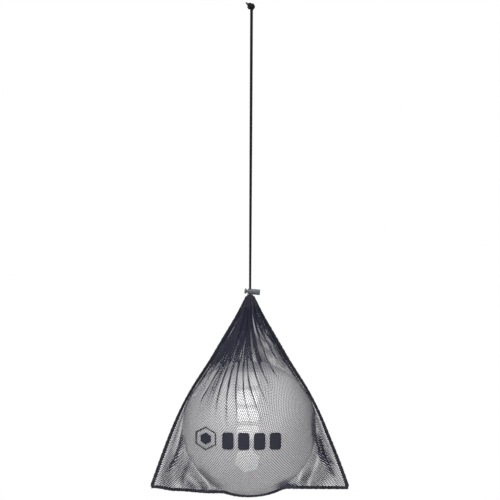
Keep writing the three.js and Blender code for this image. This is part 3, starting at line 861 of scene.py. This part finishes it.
def bottom_binding():
    """The tape turns under the bag where the ball bears on it, and so looks thinner there."""
    left, right = (float(seam_half(CORNER_DROP, side)) + 3.4 * MM for side in (-1, 1))
    x = np.linspace(-left, right, 120)
    under = bump(x, 8 * MM, 38 * MM)
    path = np.stack([x, 1.2 * MM * under, bottom_z(x) - (2.1 - 0.6 * under) * MM], -1)
    path, along = resample(path, TAPE_STEP)
    width = 1 - 0.42 * bump(path[:, 0], 8 * MM, 38 * MM)
    overlocked("bottom", path, along, (0, 0, -1), width)


side_binding("left", -1)
side_binding("right", 1)
bottom_binding()

# ---- cord lock -------------------------------------------

LOCK_RIM = -4.0             # mm along the lock's axis, from the drawcord's axis
LOCK_END = 16.2
LOCK_R = 4.6
LOCK_WALL = 0.9
LOCK_BORE = 2.85
PRESS_TRAVEL = 2.0
BUTTON_R = 4.5
NECK_R = 2.8
LOCK_ORIGIN = (LOCK_LOW + LOCK_HIGH) / 2 - PRESS_WAY * (LOCK_RIM + LOCK_END) / 2 * MM


def turned_on_lock(name, profile, segments=72):
    """A turned shape about the lock's axis, from (radius, place along the axis) in millimetres."""
    side = Vector((0, 1, 0))
    up = side.cross(PRESS_WAY)
    rings = []
    for radius, along in profile:
        middle = LOCK_ORIGIN + PRESS_WAY * along * MM
        for k in range(segments):
            a = TURN * k / segments
            rings.append(middle + (side * math.cos(a) + up * math.sin(a)) * max(radius, 0.01) * MM)
    return mesh_object(name, np.array(rings), ring_faces(len(profile), segments))


def rounded(profile, radius=0.35, steps=5):
    """The profile with its corners rounded off."""
    result = [profile[0]]
    for before, here, after in zip(profile, profile[1:], profile[2:]):
        a, b, c = (Vector(p) for p in (before, here, after))
        reach = min(radius, (a - b).length * 0.45, (c - b).length * 0.45)
        start, end = b + (a - b).normalized() * reach, b + (c - b).normalized() * reach
        for k in range(steps + 1):
            t = k / steps
            result.append(tuple(start * (1 - t) ** 2 + b * 2 * t * (1 - t) + end * t * t))
    return result + [profile[-1]]


def cut(obj, cutter):
    """Takes the cutter's shape out of an object, and removes the cutter."""
    tool = obj.modifiers.new("cut", "BOOLEAN")
    tool.operation = "DIFFERENCE"
    tool.solver = "EXACT"
    tool.object = cutter
    bpy.context.view_layer.update()
    shape = obj.evaluated_get(bpy.context.evaluated_depsgraph_get())
    mesh = bpy.data.meshes.new_from_object(shape)
    obj.modifiers.clear()
    obj.data = mesh
    bpy.data.objects.remove(cutter)
    return obj


def cylinder(radius, start, end, sides=64):
    """A plain cutter from one point to another."""
    way = (end - start).normalized()
    side = way.orthogonal().normalized()
    up = way.cross(side)
    points = [p + (side * math.cos(a) + up * math.sin(a)) * radius
              for p in (start, end) for a in np.arange(sides) / sides * TURN]
    return mesh_object("cutter", np.array(points), ring_faces(2, sides))


def sharpen(obj, degrees=35):
    """Keeps real edges crisp in the shading of a smooth object."""
    obj.data.set_sharp_from_angle(angle=math.radians(degrees))
    return obj


def make_barrel():
    end, radius, cavity = LOCK_END, LOCK_R, LOCK_R - LOCK_WALL
    barrel = turned_on_lock("lock_barrel_moulded", rounded([
        (0, end - 1.2), (cavity, end - 1.2), (cavity, LOCK_RIM), (radius - 0.1, LOCK_RIM),
        (radius, LOCK_RIM + 0.5), (radius, 3.75), (radius - 0.25, 4.1), (radius - 0.25, 5.1),
        (radius, 5.45), (radius, end - 0.5), (radius - 0.5, end), (0, end),
    ]))
    reach = Vector((0, 0, 2.2 * LOCK_R * MM))
    cut(barrel, cylinder(LOCK_BORE * MM, LOCK_ORIGIN - reach, LOCK_ORIGIN + reach))
    finish_piece(sharpen(barrel), "lock", LOCK_PLASTIC, ["lock_barrel"])


def make_plunger():
    """The button head outside the barrel, its neck, and the stem with a slot for the drawcord."""
    inner = LOCK_RIM - PRESS_TRAVEL - 0.3
    stem = LOCK_R - LOCK_WALL - 0.3
    slot_start = -LOCK_BORE - PRESS_TRAVEL
    plunger = turned_on_lock("lock_plunger_moulded", rounded([
        (0, inner - 2.9), (BUTTON_R - 1.3, inner - 2.85), (BUTTON_R - 0.15, inner - 2.0),
        (BUTTON_R, inner - 1.2), (BUTTON_R - 0.1, inner), (NECK_R, inner), (NECK_R, slot_start - 0.3),
        (stem, slot_start - 0.3), (stem, 5.45), (0, 5.45),
    ], 0.3))
    half, reach = LOCK_BORE - 0.1, 2.2 * LOCK_R
    box = [LOCK_ORIGIN + PRESS_WAY * along * MM + Vector((0, y, z)) * MM
           for along in (slot_start, LOCK_BORE)
           for y, z in ((-half, -reach), (half, -reach), (half, reach), (-half, reach))]
    cut(plunger, mesh_object("cutter", np.array(box), ring_faces(2, 4)))
    finish_piece(sharpen(plunger), "plunger", LOCK_PLASTIC, ["lock_plunger"])


make_barrel()
make_plunger()

# ---- ball ------------------------------------------------

VALVE_WAY = Vector((0.3, 0.72, 0.63)).normalized()
VALVE_HOLE_R = 4.2 * MM
COVER_T = 2.4 * MM
SEAM_DEPTH = 0.8 * MM
SEAM_HALF = 1.1 * MM
PENTAGON_AWAY = 2.3274      # face distances of a truncated icosahedron with edges of 1
HEXAGON_AWAY = 2.2673
BALL_TURN = (0.35, 0.1, 0.55)
FILM_T = 0.12 * MM          # a print's thickness
PER_SIDE = 8                # points along each side of a printed polygon


def panel_faces():
    """Unit normals and distances of a football's twelve pentagons and twenty hexagons."""
    golden = (1 + math.sqrt(5)) / 2
    corners = [(0, a, b * golden) for a in (-1, 1) for b in (-1, 1)]
    corners = np.array([np.roll(c, k) for c in corners for k in range(3)], float)
    middles = [sum(trio) for trio in itertools.combinations(corners, 3)
               if max(math.dist(a, b) for a, b in itertools.combinations(trio, 2)) < 2.1]
    ways = unit(np.vstack([corners, middles]))
    away = np.array([PENTAGON_AWAY] * 12 + [HEXAGON_AWAY] * 20)
    return ways @ np.array(Euler(BALL_TURN).to_matrix()).T, away


def make_ball():
    """A sphere with a groove wherever the two nearest of its 32 panels meet, and a hole for the valve."""
    bpy.ops.mesh.primitive_ico_sphere_add(subdivisions=7, radius=1)
    shell = bpy.context.object
    way = np.zeros(len(shell.data.vertices) * 3, np.float32)
    shell.data.vertices.foreach_get("co", way)
    way = unit(way.reshape(-1, 3).astype(float))
    face_ways, away = panel_faces()
    planes = face_ways / away[:, None]
    scores = way @ planes.T
    best, second = np.argsort(-scores, axis=1)[:, :2].T
    rows = np.arange(len(way))
    gap = scores[rows, best] - scores[rows, second]
    seam = gap / np.linalg.norm(planes[best] - planes[second], axis=1) * BALL_R
    radius = BALL_R - SEAM_DEPTH * bump(seam, 0, SEAM_HALF)
    points = way * radius[:, None] + BALL_CENTRE
    shell.data.vertices.foreach_set("co", points.astype(np.float32).ravel())
    shell.data.polygons.foreach_set("use_smooth", np.ones(len(shell.data.polygons), bool))
    shell.name = shell.data.name = "ball_cover_panels"
    inside = Vector(BALL_CENTRE) + VALVE_WAY * (BALL_R - COVER_T)
    cut(shell, cylinder(VALVE_HOLE_R, inside, inside + VALVE_WAY * (COVER_T + 4 * MM), 48))
    finish_piece(sharpen(shell, 60), "ball", BALL_COVER, ["ball_cover"])


def film_ring(name, outline, inner, place, rings=3):
    """A thin printed band, from an outline in to the same outline at a smaller scale."""
    outline = np.asarray(outline, float)
    middle = outline.mean(0)
    scales = [inner + (1 - inner) * k / rings for k in range(rings + 1)]
    top, normal = place(np.vstack([middle + (outline - middle) * scale for scale in scales]))
    n, count = len(outline), len(top)
    layers = [np.arange(r * n, (r + 1) * n) for r in range(rings + 1)]
    layers += [layer + count for layer in layers[::-1]]
    quads = [np.stack([a, b, np.roll(b, -1), np.roll(a, -1)], -1)
             for a, b in zip(layers, layers[1:] + layers[:1])]
    return mesh_object(name, np.vstack([top, top - normal * FILM_T]), np.vstack(quads))


def film(name, outline, place, rings=14):
    """A thin printed film: an outline filled from its middle, put in place by a function."""
    outline = np.asarray(outline, float)
    middle = outline.mean(0)
    flat = [middle[None]] + [middle + (outline - middle) * k / rings for k in range(1, rings + 1)]
    top, normal = place(np.vstack(flat))
    n, count = len(outline), len(top)
    j = np.arange(n)
    k = (j + 1) % n
    fan = np.stack([np.zeros(n, int), 1 + j, 1 + k], -1)
    quads = np.vstack([np.stack([j, j + n, k + n, k], -1) + 1 + r * n for r in range(rings - 1)])
    last = 1 + (rings - 1) * n
    rim = np.stack([last + k, last + j, last + j + count, last + k + count], -1)
    return mesh_object(name, np.vstack([top, top - normal * FILM_T]),
                       [np.vstack([fan, fan[:, ::-1] + count]),
                        np.vstack([quads, quads[:, ::-1] + count, rim])])


def divided(corners, step):
    """A closed outline with points along each of its sides, at most about a step apart."""
    points = []
    for a, b in zip(corners, corners[1:] + corners[:1]):
        count = max(int(math.dist(a, b) / step), 1)
        points += [tuple(np.array(a) + (np.array(b) - np.array(a)) * s / count) for s in range(count)]
    return points


def polygon_outline(x, z, radius, sides, turn=0.0):
    angles = turn + TURN * np.arange(sides) / sides
    corners = [(x + radius * math.cos(a), z + radius * math.sin(a)) for a in angles]
    return divided(corners, math.dist(*corners[:2]) / (PER_SIDE + 0.5))


def bar_outline(x0, z0, x1, z1, radius):
    """An upright rectangle with rounded corners."""
    points = []
    for turn, (x, z) in enumerate(((x1 - radius, z1 - radius), (x0 + radius, z1 - radius),
                                   (x0 + radius, z0 + radius), (x1 - radius, z0 + radius))):
        for k in range(7):
            a = (turn + k / 6) * math.pi / 2
            points.append((x + radius * math.cos(a), z + radius * math.sin(a)))
    return divided(points, 3 * MM)


def on_ball(flat):
    """Places a film on the front of the ball from (x, z), just proud of the cover."""
    offset = flat - BALL_CENTRE[[0, 2]]
    reach = BALL_R + 0.3 * MM
    depth = np.sqrt(np.maximum(reach ** 2 - (offset ** 2).sum(1), 0))
    normal = np.stack([offset[:, 0], -depth, offset[:, 1]], -1) / reach
    return BALL_CENTRE + normal * reach, normal


make_ball()

# plain blocks and a hexagon, printed white on the front of the ball
for n in range(4):
    low = BALL_CENTRE[2] + (-10 + n * 27.5) * MM
    outline = bar_outline(-20 * MM, low, 15 * MM, low + 21.5 * MM, 5 * MM)
    finish_piece(film(f"ball_print_block_{n + 1}", outline, on_ball), "ball", BALL_PRINT)
PATCH = polygon_outline(-3 * MM, BALL_CENTRE[2] - 45 * MM, 21 * MM, 6, 0.3)
finish_piece(film("ball_print_patch", PATCH, on_ball), "ball", BALL_PRINT)

# ---- plain marks printed on the front of the bag ---------


def front_surface():
    points = (FRONT_GRID * np.array((1, -1, 1))).reshape(-1, 3)
    faces = grid_quads(ROWS, COLUMNS)[:, (0, 3, 2, 1)]
    return BVHTree.FromPolygons([Vector(p) for p in points], faces.tolist())


FRONT_SURFACE = front_surface()


def on_front(flat):
    places, ways = [], []
    for x, z in flat:
        hit, normal, _, _ = FRONT_SURFACE.ray_cast(Vector((x, -1, z)), Vector((0, 1, 0)))
        normal = normal if normal.y < 0 else -normal
        places.append(hit + normal * 0.5 * MM)
        ways.append(normal)
    return np.array(places), np.array(ways)


def print_on_front(label, printed, *shape):
    finish_piece(printed(f"bag_print_{label}", *shape, on_front), "bag", BAG_PRINT)


BADGE_X, BADGE_Z = -69.5 * MM, -704.5 * MM
BLOCK_PITCH, BLOCK_WIDTH = 25.2 * MM, 17.8 * MM
print_on_front("badge", film, polygon_outline(BADGE_X, BADGE_Z, 9.5 * MM, 6, math.pi / 6))
print_on_front("frame", film_ring, polygon_outline(BADGE_X, BADGE_Z, 19 * MM, 6, math.pi / 6), 0.9)
for n in range(4):
    left = -43 * MM + n * BLOCK_PITCH
    outline = bar_outline(left, -720.5 * MM, left + BLOCK_WIDTH, -693.5 * MM, 4 * MM)
    print_on_front(f"block_{n + 1}", film, outline)

# ---- materials of the CAD nodes that still show ----------

for node, material in (("lock_spring", SPRING_STEEL), ("ball_valve", RUBBER_BLACK),
                       ("ball_bladder", RUBBER_BLACK), ("drawcord_loop", CORD_BLACK)):
    mesh = frame["nodes"][node].data
    mesh.materials.clear()
    mesh.materials.append(material)

# ---- studio ----------------------------------------------

AMBIENT = 0.4               # white light from all round, against 1 for the white that the camera sees
FLOOR_Z = -1.25
FLOOR_HALF = 3.0
LIT = Vector((0, 0, -0.6))  # what the lights are aimed at


def area_light(name, place, size, power):
    data = bpy.data.lights.new(name, "AREA")
    data.shape = "RECTANGLE"
    data.size, data.size_y = size
    data.energy = power
    light = bpy.data.objects.new(name, data)
    light.location = place
    light.rotation_euler = (LIT - Vector(place)).to_track_quat("-Z", "Y").to_euler()
    bpy.context.scene.collection.objects.link(light)


def make_studio():
    scene = bpy.context.scene
    scene.view_settings.view_transform = "Standard"
    world = bpy.data.worlds.new("studio")
    world.use_nodes = True
    nodes, links = world.node_tree.nodes, world.node_tree.links
    seen = nodes["Background"]
    seen.inputs["Color"].default_value = (1, 1, 1, 1)
    soft = nodes.new("ShaderNodeBackground")
    soft.inputs["Strength"].default_value = AMBIENT
    rays = nodes.new("ShaderNodeLightPath")
    mix = nodes.new("ShaderNodeMixShader")
    links.new(rays.outputs["Is Camera Ray"], mix.inputs["Fac"])
    links.new(soft.outputs["Background"], mix.inputs[1])
    links.new(seen.outputs["Background"], mix.inputs[2])
    links.new(mix.outputs["Shader"], nodes["World Output"].inputs["Surface"])
    scene.world = world
    corners = np.array([(-1, -1, 0), (1, -1, 0), (1, 1, 0), (-1, 1, 0)]) * FLOOR_HALF + (0, 0, FLOOR_Z)
    floor = mesh_object("studio_floor", corners, np.array([[0, 1, 2, 3]]), smooth=False)
    floor.data.materials.append(node_material("floor_white", (0.86, 0.86, 0.86), 0.8, 0.1, 40, 0.0003,
                                              tint=(0.9, 0.9, 0.9)))
    area_light("key", (-1.1, -1.9, 1.0), (2.2, 1.4), 88)
    area_light("fill", (1.8, -2.2, 0.2), (1.4, 1.4), 34)
    area_light("top", (0.1, -0.5, 1.3), (1.6, 1.2), 28)
    area_light("back", (-0.9, 2.3, 0.5), (1.8, 1.4), 34)


make_studio()
